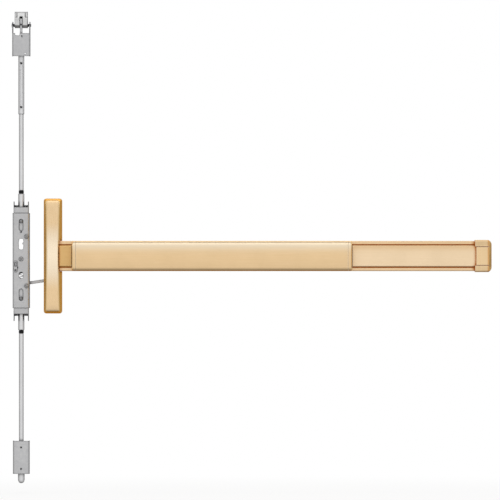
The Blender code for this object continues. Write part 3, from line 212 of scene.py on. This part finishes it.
# Gripping ridges of the adjusters: train and foot of the band. A ridge's feet and crests are
# shares of its half width, which is a share of half a turn's division
KNURLS = [("upper", 0.1249), ("lower", -0.1547)]
KNURL_RADIUS = 0.0049
KNURL_SPAN = (0.0003, 0.0061)
KNURL_COUNT = 22
KNURL_HALF = 0.36
KNURL_RIDGE = (-2.2, -1.0, 1.0, 2.2)
KNURL_CREST = 0.0002
KNURL_RAMP = 0.0004

# Coil springs: node, coil radius, wire radius and turns
SPRINGS = [("slide_spring", 0.0048, 0.0007, 7), ("bottom_bolt_spring", 0.0060, 0.0008, 6)]
COIL_STEPS = 24
WIRE_SIDES = 10
CLOSED_TURNS = 0.8
CLOSED_PITCH = 2.1

# How far an added detail reaches into the piece that carries it
SINK = 0.0001


def node_of(tree, kind, **values):
    """Add a node with some inputs set."""
    node = tree.nodes.new(kind)
    for key, value in values.items():
        node.inputs[key.replace("_", " ")].default_value = value
    return node


def ramp(tree, source, stops):
    """Colour ramp with the given stops, driven by a socket."""
    node = tree.nodes.new("ShaderNodeValToRGB")
    marks = node.color_ramp.elements
    marks[0].position, marks[-1].position = stops[0][0], stops[-1][0]
    for place, _ in stops[1:-1]:
        marks.new(place)
    for mark, (_, colour) in zip(marks, stops):
        mark.color = (*colour, 1.0)
    tree.links.new(source, node.inputs["Fac"])
    return node.outputs["Color"]


def spread(tree, source, low, high, out_low, out_high, smooth=False):
    """Map a value from one range to another."""
    node = tree.nodes.new("ShaderNodeMapRange")
    if smooth:
        node.interpolation_type = "SMOOTHSTEP"
    for name, value in (("From Min", low), ("From Max", high), ("To Min", out_low),
                        ("To Max", out_high)):
        node.inputs[name].default_value = value
    tree.links.new(source, node.inputs["Value"])
    return node.outputs["Result"]


def maths(tree, operation, first, second):
    """Join two values, each a socket or a number."""
    node = tree.nodes.new("ShaderNodeMath")
    node.operation = operation
    for socket, value in zip(node.inputs, (first, second)):
        if isinstance(value, (int, float)):
            socket.default_value = value
        else:
            tree.links.new(value, socket)
    return node.outputs["Value"]


def blend(tree, factor, near, far):
    """Mix two colours, each a socket or a plain colour."""
    mix = tree.nodes.new("ShaderNodeMix")
    mix.data_type = "RGBA"
    tree.links.new(factor, mix.inputs["Factor"])
    for socket, colour in ((mix.inputs[6], near), (mix.inputs[7], far)):
        if isinstance(colour, tuple):
            socket.default_value = (*colour, 1.0)
        else:
            tree.links.new(colour, socket)
    return mix.outputs[2]


def axes_of(tree, source):
    """X, Y and Z outputs of a vector socket."""
    split = tree.nodes.new("ShaderNodeSeparateXYZ")
    tree.links.new(source, split.inputs["Vector"])
    return split.outputs


def plain(name, colour, roughness, metallic=1.0):
    """A principled material and its tree, ready for more nodes."""
    finish = bpy.data.materials.new(name)
    finish.use_nodes = True
    shader = finish.node_tree.nodes["Principled BSDF"]
    shader.inputs["Base Color"].default_value = (*colour, 1.0)
    shader.inputs["Roughness"].default_value = roughness
    shader.inputs["Metallic"].default_value = metallic
    return finish, finish.node_tree, shader


def streaks(tree, scale, stretch):
    """Noise drawn out along one axis of the piece."""
    place = tree.nodes.new("ShaderNodeTexCoord")
    squeeze = node_of(tree, "ShaderNodeMapping", Scale=stretch)
    noise = node_of(tree, "ShaderNodeTexNoise", Scale=scale, Detail=NOISE_DETAIL,
                    Roughness=NOISE_ROUGH)
    tree.links.new(place.outputs["Object"], squeeze.inputs["Vector"])
    tree.links.new(squeeze.outputs["Vector"], noise.inputs["Vector"])
    return noise.outputs["Fac"]


def edge_mask(tree, radius, low, high):
    """Mask of the edges: where a rounded normal leaves the true one."""
    soft = node_of(tree, "ShaderNodeBevel", Radius=radius)
    soft.samples = EDGE_SAMPLES
    true = tree.nodes.new("ShaderNodeNewGeometry")
    dot = tree.nodes.new("ShaderNodeVectorMath")
    dot.operation = "DOT_PRODUCT"
    tree.links.new(soft.outputs["Normal"], dot.inputs[0])
    tree.links.new(true.outputs["Normal"], dot.inputs[1])
    return spread(tree, dot.outputs["Value"], high, low, 0.0, 1.0)


def relief(tree, height, strength, distance, under=None):
    """Bump from a height, on top of another bump when one is given."""
    bump = node_of(tree, "ShaderNodeBump", Strength=strength, Distance=distance)
    tree.links.new(height, bump.inputs["Height"])
    if under is not None:
        tree.links.new(under, bump.inputs["Normal"])
    return bump.outputs["Normal"]


def square(tree, axis="Z", start=None):
    """The square of a coordinate, or of its part beyond a start."""
    place = tree.nodes.new("ShaderNodeTexCoord")
    reach = axes_of(tree, place.outputs["Object"])[axis]
    if start is not None:
        reach = maths(tree, "MAXIMUM", maths(tree, "SUBTRACT", reach, start), 0.0)
    return maths(tree, "MULTIPLY", reach, reach)


def painted_side_shade(tree, colour):
    """Painted shade: deepen a colour on the flanks and undersides."""
    true = axes_of(tree, tree.nodes.new("ShaderNodeNewGeometry").outputs["Normal"])
    flank = maths(tree, "ABSOLUTE", true["X"], 0.0)
    under = maths(tree, "MULTIPLY", true["Z"], -1.0)
    for facing, (tint, mask) in ((flank, FLANK_SHADE), (under, UNDERSIDE_SHADE)):
        colour = blend(tree, spread(tree, facing, *mask, True), colour, tint)
    return colour


def metal(name, grain, tones, rough, bump, painted_shade, rim, edge, crown=0.0, roll=None, band=None,
          lacquer=0.0):
    """Metal with grain in colour, roughness and bump, painted shade in its joints, and coloured
    edges, which on the bronze are a painted highlight.
    """
    finish, tree, shader = plain(name, tones[0], rough[0])
    shader.inputs["Specular Tint"].default_value = (*rim, 1.0)
    noise = streaks(tree, *grain)
    cloud = streaks(tree, CLOUD_SCALE, EVEN)
    tree.links.new(spread(tree, noise, *GRAIN_SPAN, *rough), shader.inputs["Roughness"])
    colour = ramp(tree, noise, list(zip(GRAIN_MARKS, tones)))
    darker = tuple(CLOUD_SHADE * value for value in tones[0])
    colour = blend(tree, spread(tree, cloud, *CLOUD_MASK), colour, darker)
    # Painted band along one axis: a highlight on some pieces, shade on others
    if band:
        axis, start, reach, share, tint = band
        mask = spread(tree, square(tree, axis, start), 0.0, reach * reach, *share, True)
        colour = blend(tree, mask, colour, tint)
    if lacquer:
        shader.inputs["Coat Weight"].default_value = lacquer
        shader.inputs["Coat Roughness"].default_value = LACQUER_ROUGH
        # Painted shade on the flanks and undersides of the lacquered bronze
        colour = painted_side_shade(tree, colour)
    # Edge colour: on the bronze a painted highlight along the edges, on the zinc a darker edge, on
    # the black steel and wire a lighter one
    tint, radius, low, high = edge
    colour = blend(tree, edge_mask(tree, radius, low, high), colour, tint)
    # Painted shade: the colour darkens towards the given tint where nearby faces hem the surface
    # in
    shade_tint, distance, shade_full, shade_end = painted_shade
    occlusion = node_of(tree, "ShaderNodeAmbientOcclusion", Distance=distance)
    clear = spread(tree, occlusion.outputs["AO"], shade_full, shade_end, 0.0, 1.0)
    tree.links.new(blend(tree, clear, shade_tint, colour), shader.inputs["Base Color"])
    shape = relief(tree, square(tree), 1.0, crown) if crown else None
    if roll:
        shape = relief(tree, square(tree, "Z", roll[0]), 1.0, roll[1], shape)
    tree.links.new(relief(tree, noise, bump, GRAIN_DEPTH, shape), shader.inputs["Normal"])
    return finish


def smoothing():
    """Node group that welds a mesh and shades it smooth up to a limit angle."""
    group = bpy.data.node_groups.new("weld_and_smooth", "GeometryNodeTree")
    for way in ("INPUT", "OUTPUT"):
        group.interface.new_socket("Geometry", in_out=way, socket_type="NodeSocketGeometry")
    start = group.nodes.new("NodeGroupInput")
    end = group.nodes.new("NodeGroupOutput")
    weld = node_of(group, "GeometryNodeMergeByDistance", Distance=WELD)
    bare = node_of(group, "GeometryNodeRemoveAttribute", Name="custom_normal")
    faces = group.nodes.new("GeometryNodeSetShadeSmooth")
    faces.domain = "FACE"
    edges = node_of(group, "GeometryNodeSetShadeSmooth", Shade_Smooth=False)
    edges.domain = "EDGE"
    bend = group.nodes.new("GeometryNodeInputMeshEdgeAngle")
    sharp = maths(group, "GREATER_THAN", bend.outputs["Unsigned Angle"],
                  math.radians(SMOOTH_ANGLE))
    source = start.outputs[0]
    for step in (weld, bare, faces, edges):
        group.links.new(source, step.inputs["Geometry"])
        source = step.outputs["Geometry"]
    group.links.new(sharp, edges.inputs["Selection"])
    group.links.new(source, end.inputs[0])
    return group


def dress(piece, finish, width, group):
    """Give a piece its finish, smooth shading and softened edges."""
    piece.data.materials.clear()
    piece.data.materials.append(finish)
    piece.modifiers.new("smooth", "NODES").node_group = group
    flat = piece.modifiers.new("flat_faces", "DECIMATE")
    flat.decimate_type = "DISSOLVE"
    flat.angle_limit = math.radians(FLAT_ANGLE)
    if width:
        soft = piece.modifiers.new("soft_edges", "BEVEL")
        soft.width = width
        soft.segments = EDGE_SEGMENTS
        soft.limit_method = "ANGLE"
        soft.angle_limit = math.radians(EDGE_ANGLE)
        soft.harden_normals = True


def add(thing):
    """Put an object in the scene."""
    bpy.context.scene.collection.objects.link(thing)
    return thing


def polar(radius, angle, height):
    """Point at a radius and angle about Z."""
    return (radius * math.cos(angle), radius * math.sin(angle), height)


def bridge(build, rows):
    """Skin closed rows of vertices one after the other, and cap both ends."""
    count = len(rows[0])
    for near, far in zip(rows, rows[1:]):
        for k in range(count):
            build.faces.new((near[k], near[(k + 1) % count], far[(k + 1) % count], far[k]))
    build.faces.new(rows[0])
    build.faces.new(rows[-1][::-1])


def finished(build, name, matrix, body, slot):
    """Turn a build into a smooth piece at its place, riding on a body."""
    bmesh.ops.transform(build, matrix=matrix, verts=build.verts)
    bmesh.ops.recalc_face_normals(build, faces=build.faces)
    mesh = bpy.data.meshes.new(name)
    build.to_mesh(mesh)
    build.free()
    for face in mesh.polygons:
        face.use_smooth = True
    mesh.materials.append(FINISHES[slot])
    piece = add(bpy.data.objects.new(name, mesh))
    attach(piece, body)
    return piece


def frame_of(place, axis):
    """Matrix that puts local Z along an axis at a place, in metres."""
    turn = Vector(axis).to_track_quat("Z", "X").to_matrix().to_4x4()
    return Matrix.Translation(Vector(place)) @ turn


def rings(profile, count):
    """Lathe mesh about Z from a profile of radius and height."""
    build = bmesh.new()
    angles = [2 * math.pi * i / count for i in range(count)]
    loops = []
    for radius, height in profile:
        turns = angles if radius else angles[:1]
        loops.append([build.verts.new(polar(radius, angle, height)) for angle in turns])
    for low, high in zip(loops, loops[1:]):
        for i in range(count):
            corners = [low[i % len(low)], low[(i + 1) % len(low)],
                       high[(i + 1) % len(high)], high[i % len(high)]]
            build.faces.new(list(dict.fromkeys(corners)))
    return build


def peen(name, body, place, axis, radius, height, slot):
    """Riveted end: a low ring with a dimple in its middle."""
    profile = [(radius, -SINK)] + [(out * radius, up * height) for out, up in PEEN_SHARES]
    finished(rings(profile, PEEN_SIDES), name, frame_of(place, axis), body, slot)


def thread(name, body, place, axis, radius, length, pitch):
    """Screw thread: a ridge wound round a shank, tapered at both ends."""
    total = int(THREAD_STEPS * length / pitch)
    build = bmesh.new()
    rows = []
    for i in range(total + 1):
        angle = 2 * math.pi * i / THREAD_STEPS
        crest = THREAD_CREST * min(1.0, i / THREAD_STEPS, (total - i) / THREAD_STEPS)
        level = length * i / total
        rows.append([build.verts.new(polar(radius + out, angle, level + share * pitch))
                     for share, out in zip(THREAD_RIDGE, (-SINK, crest, crest, -SINK))])
    bridge(build, rows)
    finished(build, name, frame_of(place, axis), body, "zinc_steel")


def knurl(name, body, place, low, high):
    """Gripping ridges along an adjuster's band."""
    build = bmesh.new()
    half = KNURL_HALF * math.pi / KNURL_COUNT
    rises = ((low, 0.0), (low + KNURL_RAMP, KNURL_CREST), (high - KNURL_RAMP, KNURL_CREST),
             (high, 0.0))
    for i in range(KNURL_COUNT):
        middle = 2 * math.pi * i / KNURL_COUNT
        rows = []
        for level, crest in rises:
            rows.append([build.verts.new(polar(KNURL_RADIUS + out, middle + share * half, level))
                         for share, out in zip(KNURL_RIDGE, (-SINK, crest, crest, -SINK))])
        bridge(build, rows)
    finished(build, name, Matrix.Translation(Vector(place)), body, "black_steel")


def spring(node, radius, wire_radius, turns):
    """Coil spring with closed ends, in place of the CAD spring, which it hides."""
    low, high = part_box(node)
    length = high[2] - low[2]
    middle = ((low[0] + high[0]) / 2, (low[1] + high[1]) / 2)
    tight = CLOSED_PITCH * wire_radius
    open_turns = turns - 2 * CLOSED_TURNS
    pitch = (length - 2 * wire_radius - 2 * tight * CLOSED_TURNS) / open_turns
    build = bmesh.new()
    rows = []
    for i in range(turns * COIL_STEPS + 1):
        turn = i / COIL_STEPS
        level = low[2] + wire_radius + tight * min(turn, CLOSED_TURNS)
        level += pitch * min(max(turn - CLOSED_TURNS, 0.0), open_turns)
        level += tight * max(turn - turns + CLOSED_TURNS, 0.0)
        row = []
        for k in range(WIRE_SIDES):
            out, up, _ = polar(wire_radius, 2 * math.pi * k / WIRE_SIDES, 0.0)
            row.append(build.verts.new(polar(radius + out, 2 * math.pi * turn, level + up)))
        rows.append(row)
    bridge(build, rows)
    place = Matrix.Translation((middle[0], middle[1], 0.0))
    coil = finished(build, "coil_" + node, place, "device", "spring_wire")
    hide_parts(node)
    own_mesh(coil)


def turned_details():
    """Threads, riveted ends and gripping ridges, each on the piece that carries it."""
    for label, node, radius, pitch in SCREWS:
        low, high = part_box(node)
        middle = ((low[0] + high[0]) / 2, THREAD_START, (low[2] + high[2]) / 2)
        thread("thread_" + label, "device", middle, (0, 1, 0), radius,
               high[1] - SCREW_TIP * radius, pitch)
    for node, body, axis, radius, height, slot in PEENS:
        low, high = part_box(node)
        place = [(a + b) / 2 for a, b in zip(low, high)]
        for i, part in enumerate(axis):
            if part:
                place[i] = high[i] if part > 0 else low[i]
        side = "rear" if sum(axis) > 0 else "front"
        peen(f"peen_{node}_{side}", body, place, axis, radius, height, slot)
    for label, foot in KNURLS:
        low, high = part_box(label + "_adjuster")
        place = ((low[0] + high[0]) / 2, (low[1] + high[1]) / 2, 0.0)
        knurl("knurl_" + label, label + "_train", place, foot + KNURL_SPAN[0],
              foot + KNURL_SPAN[1])
    for node, radius, wire_radius, turns in SPRINGS:
        spring(node, radius, wire_radius, turns)


def soft_light(name, place, target, size, power):
    """A rectangular soft box aimed at a point."""
    lamp = bpy.data.lights.new(name, "AREA")
    lamp.shape = "RECTANGLE"
    lamp.size, lamp.size_y = size
    lamp.energy = power
    box = add(bpy.data.objects.new(name, lamp))
    box.location = place
    box.rotation_mode = "QUATERNION"
    box.rotation_quaternion = (Vector(target) - Vector(place)).to_track_quat("-Z", "Y")
    box.visible_camera = False


def paper():
    """Pale paper that fades to plain white away from the device."""
    finish, tree, shader = plain("studio_paper", PAPER, PAPER_ROUGH, 0.0)
    glow = node_of(tree, "ShaderNodeEmission", Strength=1.0)
    where = tree.nodes.new("ShaderNodeTexCoord")
    reach = tree.nodes.new("ShaderNodeVectorMath")
    reach.operation = "LENGTH"
    tree.links.new(where.outputs["Object"], reach.inputs[0])
    fade = spread(tree, reach.outputs["Value"], PAPER_NEAR, PAPER_FAR, PAPER_GLOW, 1.0, True)
    mix = tree.nodes.new("ShaderNodeMixShader")
    tree.links.new(fade, mix.inputs[0])
    tree.links.new(shader.outputs["BSDF"], mix.inputs[1])
    tree.links.new(glow.outputs["Emission"], mix.inputs[2])
    tree.links.new(mix.outputs["Shader"], tree.nodes["Material Output"].inputs["Surface"])
    return finish


def studio_floor():
    """Square of paper under the device."""
    low, _ = before
    mesh = bpy.data.meshes.new("studio_floor")
    corners = [(-1, -1), (1, -1), (1, 1), (-1, 1)]
    points = [(x * FLOOR_REACH, y * FLOOR_REACH, 0.0) for x, y in corners]
    mesh.from_pydata(points, [], [(0, 1, 2, 3)])
    mesh.materials.append(paper())
    floor = add(bpy.data.objects.new("studio_floor", mesh))
    floor.location = (0.0, 0.0, low.z - FLOOR_GAP)
    floor.visible_glossy = False


def studio_sky():
    """Soft sky that is white to the camera and graded for the metal."""
    world = bpy.data.worlds.new("studio_sky")
    world.use_nodes = True
    tree = world.node_tree
    sky = tree.nodes["Background"]
    way = axes_of(tree, tree.nodes.new("ShaderNodeTexCoord").outputs["Generated"])
    across, into, up = way["X"], way["Y"], way["Z"]
    turn = ramp(tree, spread(tree, into, -1.0, 1.0, 0.0, 1.0), SKY_TURN)
    side = spread(tree, maths(tree, "ABSOLUTE", across, 0.0), *SKY_SIDE, True)
    rise = spread(tree, up, *SKY_LOW, True)
    rise = maths(tree, "MULTIPLY", rise, spread(tree, up, *SKY_TILT, True))
    top = spread(tree, up, *SKY_TOP, True)
    ahead = spread(tree, into, *SKY_AHEAD, True)
    level = maths(tree, "MULTIPLY", side, rise)
    level = maths(tree, "ADD", level, maths(tree, "MULTIPLY", top, ahead))
    seen = tree.nodes.new("ShaderNodeLightPath").outputs["Is Camera Ray"]
    strength = tree.nodes.new("ShaderNodeMix")
    strength.inputs["B"].default_value = 1.0
    tree.links.new(seen, strength.inputs["Factor"])
    tree.links.new(level, strength.inputs["A"])
    tree.links.new(strength.outputs["Result"], sky.inputs["Strength"])
    tree.links.new(blend(tree, seen, turn, (1.0, 1.0, 1.0)), sky.inputs["Color"])
    bpy.context.scene.world = world


def studio():
    """Floor, sky and soft boxes round the device."""
    studio_floor()
    studio_sky()
    middle = (before[0] + before[1]) / 2
    for name, offset, size, power in SOFT_BOXES:
        soft_light(name, middle + Vector(offset), middle, size, power)


def camera():
    """A long lens square on to the door, framed as the photograph is."""
    low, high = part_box("head_cover")
    head_x = (low[0] + high[0]) / 2
    level_z = (low[2] + high[2]) / 2
    distance = FRAME_PX * PHOTO_SCALE / 2 / (SENSOR / 2 / LENS)
    eye = bpy.data.cameras.new("photo_camera")
    eye.lens, eye.sensor_width = LENS, SENSOR
    eye.clip_start, eye.clip_end = CLIP_START, 4 * distance
    view = add(bpy.data.objects.new("photo_camera", eye))
    view.location = (head_x + (FRAME_PX / 2 - HEAD_PX) * PHOTO_SCALE, -distance,
                     level_z + (LEVEL_PX - FRAME_PX / 2) * PHOTO_SCALE)
    view.rotation_euler = (math.pi / 2, 0.0, 0.0)
    bpy.context.scene.camera = view


# Bronze gets painted shade in its joints and a painted highlight along its edges; zinc gets
# painted shade in its joints and darker edges
BRONZE = {"painted_shade": JOINT_SHADE, "rim": AMBER, "edge": EDGE_HIGHLIGHT, "lacquer": LACQUER}
ZINC = {"painted_shade": ZINC_JOINT_SHADE, "rim": SLATE, "edge": DARK_EDGE}
bronze = metal("brushed_bronze", (400.0, LEVEL), SATIN, (0.36, 0.44), 0.05, **BRONZE)
# Pad: painted highlight towards its top
bronze_pad = metal("brushed_bronze_crowned", (400.0, LEVEL), PAD, (0.34, 0.42), 0.05, **BRONZE,
                   crown=PAD_CROWN, roll=PAD_ROLL, band=PAD_TOP_HIGHLIGHT)
# Strip: painted shade towards its top
bronze_strip = metal("brushed_bronze_dished", (400.0, LEVEL), PALE, (0.36, 0.44), 0.05,
                     **BRONZE, crown=STRIP_DISH, band=STRIP_TOP_SHADE)
# Neck: a darker copy of the bronze, with a wider painted shadow beside the pad and head
bronze_neck = metal("brushed_bronze_neck", (400.0, LEVEL), NECK_SHADED, (0.36, 0.44), 0.05,
                    **(BRONZE | {"painted_shade": SHADED}))
# Head: painted highlight in its middle
bronze_head = metal("polished_bronze", (400.0, UPRIGHT), CLEAN, (0.24, 0.32), 0.04, **BRONZE,
                    band=HEAD_MIDDLE_HIGHLIGHT)
# Cap: a darker copy of the polished bronze, with painted shade towards its outer end
bronze_cap = metal("polished_bronze_cap", (400.0, UPRIGHT), CAP, (0.26, 0.34), 0.04, **BRONZE,
                   band=CAP_END_SHADE)
zinc = metal("pressed_zinc", (160.0, EVEN), SHEET, (0.40, 0.55), 0.05, **ZINC)
rod = metal("drawn_zinc", (300.0, UPRIGHT), ROUND, (0.34, 0.46), 0.04, **ZINC)
cast = metal("cast_zinc", (90.0, EVEN), CAST, (0.38, 0.5), 0.08, **ZINC)
black = metal("black_oxide", (260.0, EVEN), OXIDE, (0.38, 0.55), 0.03,
              **(ZINC | {"edge": BLACK_EDGE}))
wire = metal("spring_steel", (500.0, EVEN), DRAWN, (0.25, 0.36), 0.03,
             **(ZINC | {"edge": WIRE_EDGE}))
FINISHES = {"satin_bronze": bronze, "zinc_steel": zinc, "black_steel": black, "spring_wire": wire}
OWN_FINISH = {
    "touch_pad": bronze_pad, "pad_end_left": bronze_pad, "pad_end_right": bronze_pad,
    "filler_strip": bronze_strip, "filler_neck": bronze_neck, "head_cover": bronze_head,
    "end_cap": bronze_cap, "top_rod": rod, "top_rod_tube": rod, "bottom_rod": rod,
    "upper_sleeve": rod, "lower_sleeve": rod, "bottom_bolt": rod, "top_bolt": cast,
}

smooth = smoothing()
for entry in frame["record"]["subparts"]:
    node, slot = entry["node"], entry["material_slot"]
    dress(frame["nodes"][node], OWN_FINISH.get(node, FINISHES[slot]), EDGE[slot], smooth)
turned_details()
studio()
camera()
bpy.context.scene.view_settings.view_transform = "Standard"
